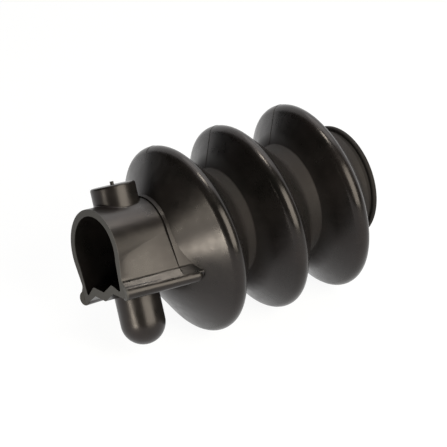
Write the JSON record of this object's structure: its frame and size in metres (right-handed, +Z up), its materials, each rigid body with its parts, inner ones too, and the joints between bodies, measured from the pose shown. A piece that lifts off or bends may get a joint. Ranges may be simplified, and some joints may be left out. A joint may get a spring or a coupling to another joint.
{
  "type": "rubber bellows boot",
  "caption": "Black rubber bellows boot with deep folds, a clamp collar and an arched neck that has a pleated floor, a short cap above and a longer cap below.",
  "frame": {"origin": "centre of the collar's mouth", "axes": "+X along the collar's axis, out of its mouth and away from the neck; +Z up from the surface that the folds lie on; the boss leans back towards +Y"},
  "size_m": [0.213, 0.1345, 0.1337],
  "materials": {
    "rubber": "satin moulded rubber"
  },
  "bodies": {
    "root": {"bellows_boot": "rubber"}
  },
  "joints": []
}
